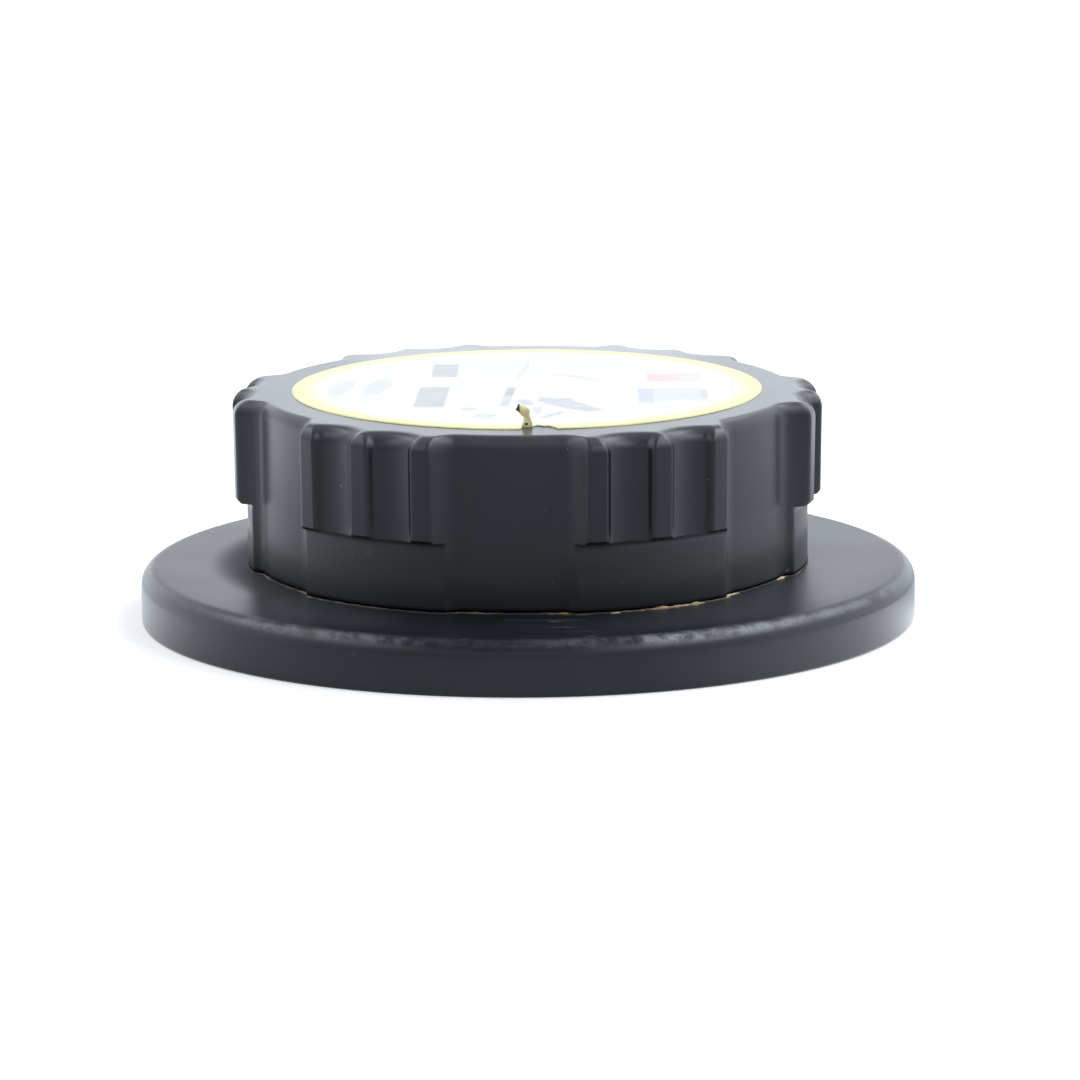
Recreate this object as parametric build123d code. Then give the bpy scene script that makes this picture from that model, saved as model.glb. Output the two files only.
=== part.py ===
import os

from build123d import *

# Screw cap of a coolant reservoir. Millimetres, +Z up, origin at the centre of the flange's foot.
# The front of the cap faces -Y. Angles are turned about +Z from that front, positive towards +X.

# Grip shell
top_height = 23.1
rib_radius = 29.65
lobe_depth = 1.45
hollow_depth = 2.35
hollow_floor_angle = 25.4
hollow_mouth_angle = 30.4
hollow_corner_round = 0.9
scallop_radius = 3.2
scallop_depth = 1.25
rib_count = 3
rib_group_count = 6
rib_pitch_angle = 13.1
rib_foot_height = 12.65
rib_foot_chamfer = 0.5
crown_round = 1.1
grip_turn = -3.5
shell_wall = 1.9
shell_ceiling = 2.0
shell_seam_gap = 0.2
shell_running_gap = 0.3

# Snap hooks that hold the shell down on the body
hook_angle = 16.0
hook_depth = 0.95
hook_height = 1.4
hook_rise = 3.0
groove_play = 0.3

# Ratchet teeth inside the shell, and the sprung pawls
tooth_count = 24
tooth_backing = 1.2
tooth_depth = 1.3
tooth_flat_angle = 5.0
tooth_tip_angle = 1.6
tooth_foot_gap = 0.5
pawl_count = 6
pawl_clearance = 0.2
pawl_side_angle = 0.6
pawl_arm_angle = 44.0
pawl_arm_thickness = 1.1
pawl_tip_span = 11.0
pawl_lift = 0.5
ratchet_height = 3.0
ratchet_headroom = 1.9
ratchet_hub_wall = 2.5
ratchet_hub_clearance = 0.8
key_count = 6
key_width = 1.8
key_length = 1.0
key_clearance = 0.06

# Flanged, threaded body
flange_radius = 39.0
flange_height = 5.7
flange_fall = 0.15
flange_roof = 2.3
flange_rim_wall = 2.2
flange_top_round = 1.8
flange_foot_round = 0.35
flange_rib_count = 12
flange_rib_thickness = 1.4
flange_rib_foot_gap = 1.0
skirt_wall = 2.2
skirt_foot_gap = 0.8
skirt_mouth_chamfer = 0.8
roof_thickness = 2.2

# Valve housing, which is the plug that enters the bottle's neck
plug_radius = 16.5
plug_foot_height = 0.8
plug_chamfer = 0.8
plug_shoulder = 1.9
neck_wall = 2.0
neck_clearance = 0.06
neck_headroom = 0.9
neck_lip = 0.9
plug_floor = 2.0
inlet_clearance = 0.6
seat_radius = 7.2
seat_width = 0.8
seat_height = 1.0

# O-rings
seal_section = 1.9
seal_stand_out = 0.45
seal_set_down = 4.4
seal_spacing = 4.4
seal_groove_play = 0.3
roof_seal_section = 1.1
roof_seal_squeeze = 0.12

# Retaining rings
ring_thickness = 0.9
ring_groove_depth = 0.8
ring_stand_out = 1.5
ring_gap_angle = 26.0
ring_play = 0.05
cover_ring_grip = 1.4

# Overpressure valve
gasket_thickness = 1.2
gasket_radius = 9.4
gasket_hole_radius = 3.0
piston_clearance = 0.2
piston_plate = 1.6
piston_notch_depth = 1.5
piston_guide_count = 6
piston_guide_angle = 26.0
piston_guide_height = 2.4
piston_guide_wall = 0.9
piston_rim_width = 1.2
piston_rim_drop = 0.9
piston_rim_clearance = 0.15
piston_hub_radius = 3.6
piston_hub_height = 0.7
bleed_count = 3
bleed_radius = 0.45
bleed_circle_radius = 2.25
washer_thickness = 0.5
spring_radius = 8.8
spring_wire = 1.4
spring_turns = 4.5
cover_thickness = 1.5
cover_clearance = 0.05
cover_hole_count = 6
cover_hole_radius = 1.3
cover_hole_circle_radius = 4.6
cover_boss_radius = 7.9
cover_boss_depth = 1.2

# Vacuum valve
poppet_radius = 4.6
poppet_thickness = 1.1
stem_radius = 1.3
stem_clearance = 0.08
stem_end = 1.1
stem_groove_radius = 0.9
vacuum_spring_radius = 2.4
vacuum_spring_wire = 0.45
vacuum_spring_turns = 5.0
vacuum_spring_length = 3.4
clip_radius = 3.4
clip_thickness = 0.6
clip_slot_width = 1.45

# Label
label_margin = 3.7
label_thickness = 0.12
bite_angle = 5.2
bite_radius = 1.75
bite_set_in = 0.1
sliver_height = 2.5
sliver_width = 1.0
sliver_tip_width = 0.68
sliver_lean = 0.5
sliver_bend_height = 1.1
sliver_offset = 0.1
sliver_set_in = 0.3

# Worked out from the sizes above
full_circle = 360.0
front = -90.0
group_angle = full_circle / rib_group_count
hollow_radius = rib_radius - hollow_depth
lobe_radius = rib_radius - lobe_depth
label_radius = hollow_radius - label_margin
shell_inner_radius = hollow_radius - shell_wall
shell_foot_height = flange_height + shell_seam_gap
ceiling_height = top_height - shell_ceiling
hook_foot_height = shell_foot_height + hook_rise
tooth_root_radius = shell_inner_radius - tooth_backing
tooth_tip_radius = tooth_root_radius - tooth_depth
tooth_angle = full_circle / tooth_count
skirt_radius = shell_inner_radius - shell_running_gap
thread_root_radius = skirt_radius - skirt_wall
roof_height = ceiling_height - ratchet_headroom - ratchet_height
roof_foot_height = roof_height - roof_thickness
neck_radius = plug_radius - plug_shoulder
neck_height = ceiling_height - neck_headroom
bore_radius = neck_radius - neck_wall
ratchet_hub_inner = neck_radius + ring_stand_out + ratchet_hub_clearance
ratchet_hub_radius = ratchet_hub_inner + ratchet_hub_wall
inlet_radius = poppet_radius + inlet_clearance
upper_seal_height = roof_foot_height - seal_set_down
lower_seal_height = upper_seal_height - seal_spacing
seal_groove_radius = plug_radius + seal_stand_out - seal_section
roof_seal_radius = plug_radius - plug_shoulder / 2
roof_seal_height = roof_seal_section - roof_seal_squeeze
seat_level = plug_foot_height + plug_floor + seat_height
piston_radius = bore_radius - piston_clearance
piston_level = seat_level + gasket_thickness
plate_height = piston_level + piston_plate
washer_height = plate_height + washer_thickness
hub_height = plate_height + piston_hub_height
vacuum_clip_height = hub_height + vacuum_spring_length
stem_height = vacuum_clip_height + clip_thickness + stem_end
cover_height = neck_height - neck_lip - ring_thickness
cover_foot_height = cover_height - cover_thickness

# How far cutting shapes reach past what they cut, and joined shapes reach into each other
overlap = 1.0
bite_in = 0.5
near = 0.01


def disc(radius, foot, height):
    """Solid cylinder on the cap's axis."""
    return Pos(0, 0, foot) * Cylinder(radius, height, align=(Align.CENTER, Align.CENTER, Align.MIN))


def tube(outer, inner, foot, height):
    """Cylinder with a round hole, on the cap's axis."""
    return disc(outer, foot, height) - disc(inner, foot - overlap, height + 2 * overlap)


def polar(radius, angle):
    """Point of the plan at a radius and an angle from the front."""
    return Vector(radius, 0).rotate(Axis.Z, front + angle)


def sector(outer, inner, angle, foot, height):
    """Piece of a ring, centred on the front."""
    arc_out = ThreePointArc(polar(outer, -angle / 2), polar(outer, 0), polar(outer, angle / 2))
    arc_in = ThreePointArc(polar(inner, angle / 2), polar(inner, 0), polar(inner, -angle / 2))
    side_a = Line(arc_out @ 1, arc_in @ 0)
    side_b = Line(arc_in @ 1, arc_out @ 0)
    face = make_face(Wire([arc_out, side_a, arc_in, side_b]))
    return Pos(0, 0, foot) * extrude(face, height)


def turned(*points):
    """Solid of revolution about the cap's axis from (radius, height) corners."""
    corners = [(radius, 0, height) for radius, height in points]
    return revolve(make_face(Polyline(*corners, close=True)), Axis.Z)


def around(shape, count, start=0.0):
    """Copies of a shape, evenly spaced about the cap's axis."""
    return [Rot(0, 0, start + index * full_circle / count) * shape for index in range(count)]


def coil(radius, wire, turns, foot, length):
    """Round-wire helix whose outside fills the stated height."""
    rise = length - wire
    path = Pos(0, 0, foot + wire / 2) * Helix(rise / turns, rise, radius)
    section = Plane(path @ 0, z_dir=path % 0) * Circle(wire / 2)
    return sweep(section, path, is_frenet=True)


def o_ring(radius, section, height):
    """Round rubber ring, with its middle at a height."""
    return Pos(0, 0, height) * Torus(radius, section / 2)


def open_ring(outer, inner, foot, gap_turn):
    """Flat spring ring with a gap."""
    ring = tube(outer, inner, foot, ring_thickness)
    gap = sector(outer + overlap, inner - overlap, ring_gap_angle, foot - overlap, ring_thickness + 2 * overlap)
    return ring - Rot(0, 0, gap_turn) * gap


def hollow_outline():
    """Plan of one wide smooth hollow between two rib groups."""
    floor_half = hollow_floor_angle / 2
    mouth_half = hollow_mouth_angle / 2
    outside = rib_radius + overlap
    floor = ThreePointArc(
        polar(hollow_radius, -floor_half), polar(hollow_radius, 0), polar(hollow_radius, floor_half)
    )
    side_a = Line(floor @ 1, polar(rib_radius, mouth_half))
    lip_a = Line(side_a @ 1, polar(outside, mouth_half))
    lid = ThreePointArc(lip_a @ 1, polar(outside, 0), polar(outside, -mouth_half))
    lip_b = Line(lid @ 1, polar(rib_radius, -mouth_half))
    side_b = Line(lip_b @ 1, floor @ 0)
    face = make_face(Wire([floor, side_a, lip_a, lid, lip_b, side_b]))
    corners = [corner for corner in face.vertices() if Vector(corner.X, corner.Y).length < hollow_radius + near]
    return fillet(corners, hollow_corner_round)


def scallop_outlines():
    """Plans of the round grooves that part the three ribs of one group."""
    centre_radius = rib_radius - scallop_depth + scallop_radius
    first = group_angle / 2 - (rib_count - 2) * rib_pitch_angle / 2
    return [
        Pos(polar(centre_radius, first + index * rib_pitch_angle)) * Circle(scallop_radius)
        for index in range(rib_count - 1)
    ]


def grip_block():
    """Outside form of the grip: ribbed crown with a rounded top edge, over a plain lobed neck."""
    hollows = around(hollow_outline(), rib_group_count)
    ribbed = Circle(rib_radius) - hollows
    for outline in scallop_outlines():
        ribbed -= around(outline, rib_group_count)
    crown = extrude(Pos(0, 0, rib_foot_height) * ribbed, top_height - rib_foot_height)
    crown = fillet(crown.faces().sort_by(Axis.Z)[-1].outer_wire().edges(), crown_round)
    crown -= turned(
        (rib_radius - rib_foot_chamfer, rib_foot_height),
        (rib_radius + overlap, rib_foot_height),
        (rib_radius + overlap, rib_foot_height + rib_foot_chamfer + overlap),
    )
    lobed = Circle(lobe_radius) - hollows
    neck = extrude(Pos(0, 0, shell_foot_height) * lobed, rib_foot_height - shell_foot_height)
    return crown + neck


def tooth_ring():
    """Ring of saw teeth: a ramp on the side that overrides, a steep face on the side that locks."""
    corners = []
    for index in range(tooth_count):
        start = index * tooth_angle - front
        corners.append(polar(tooth_root_radius, start))
        corners.append(polar(tooth_root_radius, start + tooth_flat_angle))
        corners.append(polar(tooth_tip_radius, start + tooth_angle - tooth_tip_angle))
        corners.append(polar(tooth_tip_radius, start + tooth_angle))
    foot = roof_height + tooth_foot_gap
    height = ceiling_height - foot
    opening = Pos(0, 0, foot - overlap) * extrude(make_face(Polyline(*corners, close=True)), height + overlap)
    return disc(shell_inner_radius + bite_in, foot, height + bite_in) - opening


def snap_hook():
    """Wedge on the shell's inside that snaps into the body's groove."""
    inner = shell_inner_radius - hook_depth
    ring = turned(
        (shell_inner_radius + bite_in, hook_foot_height - hook_depth),
        (shell_inner_radius, hook_foot_height - hook_depth),
        (inner, hook_foot_height),
        (inner, hook_foot_height + hook_height),
        (shell_inner_radius + bite_in, hook_foot_height + hook_height),
    )
    slice_height = hook_height + hook_depth + 2 * overlap
    window = sector(lobe_radius, overlap, hook_angle, hook_foot_height - hook_depth - overlap, slice_height)
    return ring & window


def grip_shell():
    """Ribbed outer shell, open below, with ratchet teeth and snap hooks inside."""
    block = grip_block()
    cavity = disc(shell_inner_radius, shell_foot_height - overlap, ceiling_height - shell_foot_height + overlap)
    shell = block - cavity
    shell += Rot(0, 0, -grip_turn) * tooth_ring()
    shell += around(snap_hook(), rib_group_count)
    return Rot(0, 0, grip_turn) * shell


def flange():
    """Wide flange, hollow below, with radial stiffening ribs."""
    roof_foot = flange_height - flange_roof
    outer_top = flange_height - flange_fall
    rim_inner = flange_radius - flange_rim_wall
    hidden_radius = skirt_radius - bite_in
    body = turned(
        (hidden_radius, roof_foot),
        (rim_inner, roof_foot - flange_fall),
        (rim_inner, 0),
        (flange_radius, 0),
        (flange_radius, outer_top),
        (skirt_radius, flange_height),
        (hidden_radius, flange_height),
    )
    circles = body.edges().filter_by(GeomType.CIRCLE)
    rim_edges = circles.filter_by(lambda edge: edge.radius > flange_radius - near)
    body = fillet(rim_edges.sort_by(Axis.Z)[-1], flange_top_round)
    foot_edges = body.edges().filter_by(GeomType.CIRCLE).filter_by(lambda edge: abs(edge.center().Z) < near)
    body = fillet(foot_edges.sort_by(SortBy.RADIUS)[-1], flange_foot_round)
    rib_length = rim_inner - hidden_radius + bite_in
    rib_height = roof_foot - flange_rib_foot_gap + bite_in
    rib = Box(rib_length, flange_rib_thickness, rib_height, align=(Align.MIN, Align.CENTER, Align.MIN))
    rib = Pos(hidden_radius, 0, flange_rib_foot_gap) * rib
    return body + around(rib, flange_rib_count, full_circle / flange_rib_count / 2)


def skirt():
    """Wall that carries the inside thread, closed above by the roof, with the snap groove outside."""
    groove_foot = hook_foot_height - hook_depth - groove_play
    groove_top = hook_foot_height + hook_height + groove_play
    groove_radius = shell_inner_radius - hook_depth - groove_play
    wall = turned(
        (thread_root_radius + skirt_mouth_chamfer, skirt_foot_gap),
        (skirt_radius, skirt_foot_gap),
        (skirt_radius, groove_foot),
        (groove_radius, groove_foot),
        (groove_radius, groove_top),
        (skirt_radius, groove_top),
        (skirt_radius, roof_height),
        (neck_radius + neck_clearance, roof_height),
        (neck_radius + neck_clearance, roof_foot_height),
        (thread_root_radius, roof_foot_height),
        (thread_root_radius, skirt_foot_gap + skirt_mouth_chamfer),
    )
    return wall


def ratchet_key():
    """Lug on the roof that stops the ratchet ring from turning."""
    height = ratchet_height - pawl_lift + bite_in
    key = Box(key_length, key_width, height, align=(Align.MIN, Align.CENTER, Align.MIN))
    return Pos(ratchet_hub_inner - key_clearance, 0, roof_height - bite_in) * key


def threaded_body():
    """Flange, threaded skirt and roof, moulded as one."""
    return flange() + skirt() + around(ratchet_key(), key_count)


def pawl():
    """Tip that sits in a tooth gap, on a curved arm that runs back to the hub."""
    outer = tooth_root_radius - pawl_clearance
    arm_outer = tooth_tip_radius - 2 * pawl_clearance
    arm_inner = arm_outer - pawl_arm_thickness
    slope = tooth_depth / (tooth_angle - tooth_tip_angle - tooth_flat_angle)
    tip_end_radius = outer - slope * (pawl_tip_span - tooth_flat_angle + pawl_side_angle)
    tip = make_face(
        Polyline(
            polar(arm_inner, pawl_side_angle),
            polar(outer, pawl_side_angle),
            polar(outer, tooth_flat_angle - pawl_side_angle),
            polar(tip_end_radius, pawl_tip_span),
            polar(arm_inner, pawl_tip_span),
            close=True,
        )
    )
    foot = roof_height + pawl_lift
    height = ratchet_height - pawl_lift
    arm = sector(arm_outer, arm_inner, pawl_arm_angle, foot, height)
    root = sector(arm_outer, ratchet_hub_radius - bite_in, tooth_angle / 2, foot, height)
    arm_turn = pawl_side_angle + pawl_arm_angle / 2
    root_turn = pawl_side_angle + pawl_arm_angle - tooth_angle / 4
    return Pos(0, 0, foot) * extrude(tip, height) + Rot(0, 0, arm_turn) * arm + Rot(0, 0, root_turn) * root


def ratchet_ring():
    """Keyed hub with six sprung pawls."""
    hub = tube(ratchet_hub_radius, ratchet_hub_inner, roof_height, ratchet_height)
    slot = Box(
        key_length + 2 * key_clearance,
        key_width + 2 * key_clearance,
        ratchet_height + 2 * overlap,
        align=(Align.MIN, Align.CENTER, Align.CENTER),
    )
    slot = Pos(ratchet_hub_inner - 2 * key_clearance, 0, roof_height + ratchet_height / 2) * slot
    pawls = around(pawl(), pawl_count, -front)
    return hub - around(slot, key_count) + pawls


def seal_groove(height):
    """Groove for an O-ring in the plug's side."""
    groove_height = seal_section + 2 * seal_groove_play
    return tube(plug_radius + overlap, seal_groove_radius, height - groove_height / 2, groove_height)


def valve_housing():
    """Plug with the valve's seat at its floor and a neck that passes up through the roof."""
    body = turned(
        (inlet_radius, plug_foot_height),
        (plug_radius - plug_chamfer, plug_foot_height),
        (plug_radius, plug_foot_height + plug_chamfer),
        (plug_radius, roof_foot_height),
        (neck_radius, roof_foot_height),
        (neck_radius, neck_height),
        (bore_radius, neck_height),
        (bore_radius, plug_foot_height + plug_floor),
        (seat_radius + seat_width / 2, plug_foot_height + plug_floor),
        (seat_radius + seat_width / 2, seat_level),
        (seat_radius - seat_width / 2, seat_level),
        (seat_radius - seat_width / 2, plug_foot_height + plug_floor),
        (inlet_radius, plug_foot_height + plug_floor),
    )
    for height in (lower_seal_height, upper_seal_height):
        body -= seal_groove(height)
    half = roof_seal_section / 2 + ring_play
    body -= tube(
        roof_seal_radius + half, roof_seal_radius - half, roof_foot_height - roof_seal_height, roof_seal_height
    )
    ring_groove_height = ring_thickness + ring_play
    body -= tube(neck_radius + overlap, neck_radius - ring_groove_depth, roof_height, ring_groove_height)
    body -= disc(bore_radius + ring_groove_depth, cover_height, ring_groove_height)
    return body


def roof_seal():
    """O-ring pressed flat between the plug's shoulder and the roof."""
    foot = roof_foot_height - roof_seal_height
    ring = o_ring(roof_seal_radius, roof_seal_section, foot + roof_seal_height / 2)
    return ring & tube(roof_seal_radius + overlap, roof_seal_radius - overlap, foot, roof_seal_height)


def neck_seal(height):
    """O-ring in one of the plug's side grooves."""
    return o_ring(seal_groove_radius + seal_section / 2, seal_section, height)


def housing_ring():
    """Open ring in the neck's outer groove, resting on the roof."""
    inner = neck_radius - ring_groove_depth + ring_play
    return open_ring(neck_radius + ring_stand_out, inner, roof_height, group_angle)


def cover_ring():
    """Open ring in the neck's inner groove, resting on the cover."""
    outer = bore_radius + ring_groove_depth - ring_play
    return open_ring(outer, bore_radius - cover_ring_grip, cover_height, -group_angle)


def spring_cover():
    """Perforated cover with a boss inside the pressure spring."""
    plate = disc(bore_radius - cover_clearance, cover_foot_height, cover_thickness)
    boss = tube(
        cover_boss_radius,
        cover_boss_radius - cover_thickness,
        cover_foot_height - cover_boss_depth,
        cover_boss_depth + bite_in,
    )
    hole = Pos(cover_hole_circle_radius, 0) * disc(
        cover_hole_radius, cover_foot_height - overlap, cover_thickness + 2 * overlap
    )
    return plate + boss - around(hole, cover_hole_count)


def pressure_gasket():
    """Rubber disc on the seat lip, with a hole that the vacuum poppet closes."""
    return tube(gasket_radius, gasket_hole_radius, seat_level, gasket_thickness)


def pressure_piston():
    """Plate over the gasket, with guide walls in the bore and a hub for the poppet's stem."""
    rim_inner = gasket_radius + piston_rim_clearance
    rim_outer = rim_inner + piston_rim_width
    guide_height = plate_height + piston_guide_height
    piston = turned(
        (stem_radius + stem_clearance, piston_level),
        (rim_inner, piston_level),
        (rim_inner, piston_level - piston_rim_drop),
        (rim_outer, piston_level - piston_rim_drop),
        (rim_outer, piston_level),
        (piston_radius, piston_level),
        (piston_radius, guide_height),
        (piston_radius - piston_guide_wall, guide_height),
        (piston_radius - piston_guide_wall, plate_height),
        (piston_hub_radius, plate_height),
        (piston_hub_radius, hub_height),
        (stem_radius + stem_clearance, hub_height),
    )
    step = full_circle / piston_guide_count
    notch = sector(
        piston_radius + overlap,
        piston_radius - piston_notch_depth,
        step - piston_guide_angle,
        piston_level - overlap,
        guide_height - piston_level + 2 * overlap,
    )
    bleed = disc(bleed_radius, piston_level - overlap, hub_height - piston_level + 2 * overlap)
    bleed = Pos(bleed_circle_radius, 0) * bleed
    return piston - around(notch, piston_guide_count, step / 2) - around(bleed, bleed_count)


def spring_washer():
    """Flat steel seat under the pressure spring."""
    outer = spring_radius + spring_wire
    return tube(outer, spring_radius - spring_wire, plate_height, washer_thickness)


def pressure_spring():
    """Coil spring from the washer up to the cover."""
    return coil(spring_radius, spring_wire, spring_turns, washer_height, cover_foot_height - washer_height)


def vacuum_valve():
    """Poppet under the gasket, with a stem through the piston's hub."""
    head = disc(poppet_radius, seat_level - poppet_thickness, poppet_thickness)
    stem = disc(stem_radius, seat_level - bite_in, stem_height - seat_level + bite_in)
    groove = tube(stem_radius + overlap, stem_groove_radius, vacuum_clip_height, clip_thickness)
    return head + stem - groove


def vacuum_clip():
    """Round clip in the stem's groove, on top of the vacuum spring."""
    clip = tube(clip_radius, stem_groove_radius, vacuum_clip_height, clip_thickness)
    slot = Box(clip_radius + overlap, clip_slot_width, clip_thickness + overlap)
    slot = Pos((clip_radius + overlap) / 2, 0, vacuum_clip_height + clip_thickness / 2) * slot
    return clip - slot


def vacuum_spring():
    """Small coil spring between the piston's hub and the clip."""
    return coil(vacuum_spring_radius, vacuum_spring_wire, vacuum_spring_turns, hub_height, vacuum_spring_length)


def label():
    """Round film on the top face, torn at the front, with the torn sliver standing up."""
    film = disc(label_radius, top_height, label_thickness)
    bite = Pos(polar(label_radius + bite_set_in, bite_angle)) * disc(bite_radius, top_height - overlap, 2 * overlap)
    film -= bite
    bend = Vector(sliver_offset, top_height + sliver_bend_height)
    tip = Vector(sliver_offset - sliver_lean, top_height + sliver_height)
    foot_half = Vector(sliver_width / 2, 0)
    tip_half = Vector(sliver_tip_width / 2, 0)
    foot = Vector(sliver_offset, top_height)
    right_side = Spline(foot + foot_half, bend + foot_half, tip + tip_half)
    left_side = Spline(tip - tip_half, bend - foot_half, foot - foot_half)
    tip_edge = Line(right_side @ 1, left_side @ 0)
    foot_edge = Line(left_side @ 1, right_side @ 0)
    outline = make_face(Wire([right_side, tip_edge, left_side, foot_edge]))
    upright = Plane(origin=(0, sliver_set_in - label_radius, 0), x_dir=(1, 0, 0), z_dir=(0, -1, 0))
    return film + extrude(upright * outline, label_thickness)


def write(name, shape):
    """One solid or group of solids to its own file."""
    export_step(Part() + shape, f"parts/{name}.step")


def build():
    """Every piece of the cap."""
    os.makedirs("parts", exist_ok=True)
    pieces = {
        "grip_shell": grip_shell(),
        "label": label(),
        "threaded_body": threaded_body(),
        "ratchet_ring": ratchet_ring(),
        "valve_housing": valve_housing(),
        "upper_neck_seal": neck_seal(upper_seal_height),
        "lower_neck_seal": neck_seal(lower_seal_height),
        "roof_seal": roof_seal(),
        "housing_ring": housing_ring(),
        "spring_cover": spring_cover(),
        "cover_ring": cover_ring(),
        "pressure_spring": pressure_spring(),
        "spring_washer": spring_washer(),
        "pressure_piston": pressure_piston(),
        "pressure_gasket": pressure_gasket(),
        "vacuum_valve": vacuum_valve(),
        "vacuum_spring": vacuum_spring(),
        "vacuum_clip": vacuum_clip(),
    }
    for name, shape in pieces.items():
        write(name, shape)


build()
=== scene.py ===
from math import cos, pi, radians, sin

import bmesh
import bpy
import numpy as np
from mathutils import Matrix, Vector


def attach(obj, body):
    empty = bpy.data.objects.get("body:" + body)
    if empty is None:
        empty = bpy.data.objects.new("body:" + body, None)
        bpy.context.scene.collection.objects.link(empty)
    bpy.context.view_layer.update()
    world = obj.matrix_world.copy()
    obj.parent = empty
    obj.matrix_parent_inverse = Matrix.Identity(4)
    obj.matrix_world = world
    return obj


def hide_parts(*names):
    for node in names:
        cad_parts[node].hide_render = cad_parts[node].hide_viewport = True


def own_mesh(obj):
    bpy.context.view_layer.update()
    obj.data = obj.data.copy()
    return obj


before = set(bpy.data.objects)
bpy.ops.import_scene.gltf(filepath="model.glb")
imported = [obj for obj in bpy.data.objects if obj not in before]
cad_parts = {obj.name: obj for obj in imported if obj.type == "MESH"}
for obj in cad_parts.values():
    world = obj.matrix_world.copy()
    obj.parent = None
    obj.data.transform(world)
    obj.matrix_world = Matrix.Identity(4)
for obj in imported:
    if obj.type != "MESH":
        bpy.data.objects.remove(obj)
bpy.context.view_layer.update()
mm = 0.001
print("frame loaded")


# Shader maths
# A Link is one output socket of a material; Python's operators on it add Math nodes.
class Link:
    def __init__(self, tree, socket=None):
        self.tree, self.socket = tree, socket

    def node(self, kind, settings=None, inputs=None, output=0):
        made = self.tree.nodes.new(kind)
        for name, value in (settings or {}).items():
            setattr(made, name, value)
        for name, value in (inputs or {}).items():
            socket = made.inputs[name]
            if isinstance(value, Link):
                self.tree.links.new(value.socket, socket)
            else:
                socket.default_value = value
        return Link(self.tree, made.outputs[output])

    def maths(self, operation, *values):
        return self.node("ShaderNodeMath", {"operation": operation}, dict(enumerate(values)))

    def __add__(self, other): return self.maths("ADD", self, other)
    def __radd__(self, other): return self.maths("ADD", other, self)
    def __sub__(self, other): return self.maths("SUBTRACT", self, other)
    def __rsub__(self, other): return self.maths("SUBTRACT", other, self)
    def __mul__(self, other): return self.maths("MULTIPLY", self, other)
    def __rmul__(self, other): return self.maths("MULTIPLY", other, self)
    def __truediv__(self, other): return self.maths("DIVIDE", self, other)
    def __rtruediv__(self, other): return self.maths("DIVIDE", other, self)
    def __pow__(self, other): return self.maths("POWER", self, other)
    def __abs__(self): return self.maths("ABSOLUTE", self)

    def most(self, other): return self.maths("MAXIMUM", self, other)

    def rise(self, low, high):  # 0 below low, 1 above high, smooth between; falls where high is below low
        start, end = (0.0, 1.0) if low < high else (1.0, 0.0)
        inputs = {"Value": self, "From Min": min(low, high), "From Max": max(low, high), "To Min": start, "To Max": end}
        return self.node("ShaderNodeMapRange", {"interpolation_type": "SMOOTHSTEP"}, inputs)

    def blend(self, first, second):  # colour mix by this mask; 6, 7 and 2 are the Mix node's colour sockets
        first, second = (colour if isinstance(colour, Link) else (*colour, 1.0) for colour in (first, second))
        return self.node("ShaderNodeMix", {"data_type": "RGBA"}, {0: self, 6: first, 7: second}, output=2)


def material(name, roughness=0.5, metallic=0.0, **constants):  # a fresh Principled material and its start Link
    made = bpy.data.materials.new(name)
    made.use_nodes = True
    tree = made.node_tree
    shader = tree.nodes["Principled BSDF"]
    shader.inputs["Roughness"].default_value = roughness
    shader.inputs["Metallic"].default_value = metallic
    for key, value in constants.items():
        shader.inputs[key.replace("_", " ")].default_value = value
    return made, Link(tree), shader


def feed(start, shader, **links):  # joins Links to the shader's sockets; Height goes through a Bump node
    for key, value in links.items():
        if key == "Height":
            height, strength, distance = value
            inputs = {"Strength": strength, "Distance": distance, "Height": height}
            bump = start.node("ShaderNodeBump", None, inputs)
            start.tree.links.new(bump.socket, shader.inputs["Normal"])
        else:
            start.tree.links.new(value.socket, shader.inputs[key.replace("_", " ")])


def coordinates(start):  # Object coordinates, and x, y, z in mm
    place = start.node("ShaderNodeTexCoord", output="Object")
    parts = [start.node("ShaderNodeSeparateXYZ", None, {"Vector": place}, output=axis) * 1000.0 for axis in "XYZ"]
    return place, parts


def noise(start, place, scale, detail=3.0, roughness=0.55):  # scale is in features per metre
    inputs = {"Vector": place, "Scale": scale, "Detail": detail, "Roughness": roughness}
    return start.node("ShaderNodeTexNoise", None, inputs)


# Meshes from arrays
def smoothMesh(name, points, faces, sharpAngle=40.0):
    data = bpy.data.meshes.new(name)
    data.from_pydata(points.reshape(-1, 3), [], faces)
    data.validate()
    data.shade_smooth()
    data.set_sharp_from_angle(angle=radians(sharpAngle))
    made = bpy.data.objects.new(name, data)
    bpy.context.scene.collection.objects.link(made)
    return made


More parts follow.
